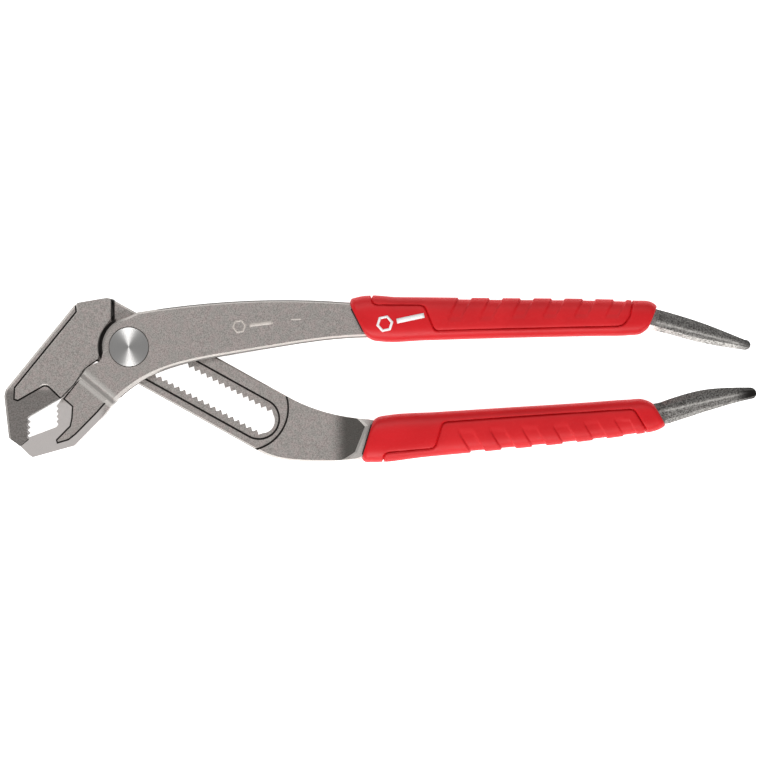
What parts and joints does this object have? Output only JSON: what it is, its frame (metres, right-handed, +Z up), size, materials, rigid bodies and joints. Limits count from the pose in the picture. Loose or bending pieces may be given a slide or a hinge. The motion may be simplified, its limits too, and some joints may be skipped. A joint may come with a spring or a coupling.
{
  "type": "tongue and groove pliers",
  "caption": "Box-joint tongue and groove pliers with a hexagonal jaw opening, a toothed slot, moulded grips and reaming handle tips.",
  "frame": {"origin": "pivot axis, on the surface that the pliers rest on, at the foremost notch", "axes": "+X along the handles towards their tips, +Y from the lower handle to the upper one, +Z up, along the pivot"},
  "size_m": [0.306, 0.0673, 0.016],
  "materials": {
    "forged_steel": "blasted, oiled",
    "bolt_steel": "turned, polished",
    "hardened_steel": "ground",
    "spring_steel": "blued",
    "grip_shell": "satin",
    "grip_rubber": "fine texture"
  },
  "bodies": {
    "lower_handle": {"slotted_lever": "forged_steel", "lower_grip_sleeve": "grip_shell", "lower_grip_pad": "grip_rubber"},
    "sliding_pivot": {"front_guide_washer": "hardened_steel", "rear_guide_washer": "hardened_steel"},
    "turning_bolt": {"pivot_bolt": "bolt_steel", "toothed_key": "hardened_steel", "disc_spring": "spring_steel", "pivot_nut": "bolt_steel"},
    "upper_handle": {"curved_lever": "forged_steel", "upper_grip_sleeve": "grip_shell", "upper_grip_pad": "grip_rubber"}
  },
  "joints": [
    {"name": "slot_slide", "type": "slide", "parent": "lower_handle", "child": "sliding_pivot", "axis": [0.8746, -0.4848, 0], "range_m": [0, 0.0336]},
    {"name": "key_turn", "type": "hinge", "parent": "sliding_pivot", "child": "turning_bolt", "pos_m": [0, 0, 0.008], "axis": [0, 0, 1], "range_deg": [0, 14]},
    {"name": "jaw_swing", "type": "hinge", "parent": "turning_bolt", "child": "upper_handle", "pos_m": [0, 0, 0.008], "axis": [0, 0, 1], "range_deg": [0, 24]}
  ]
}
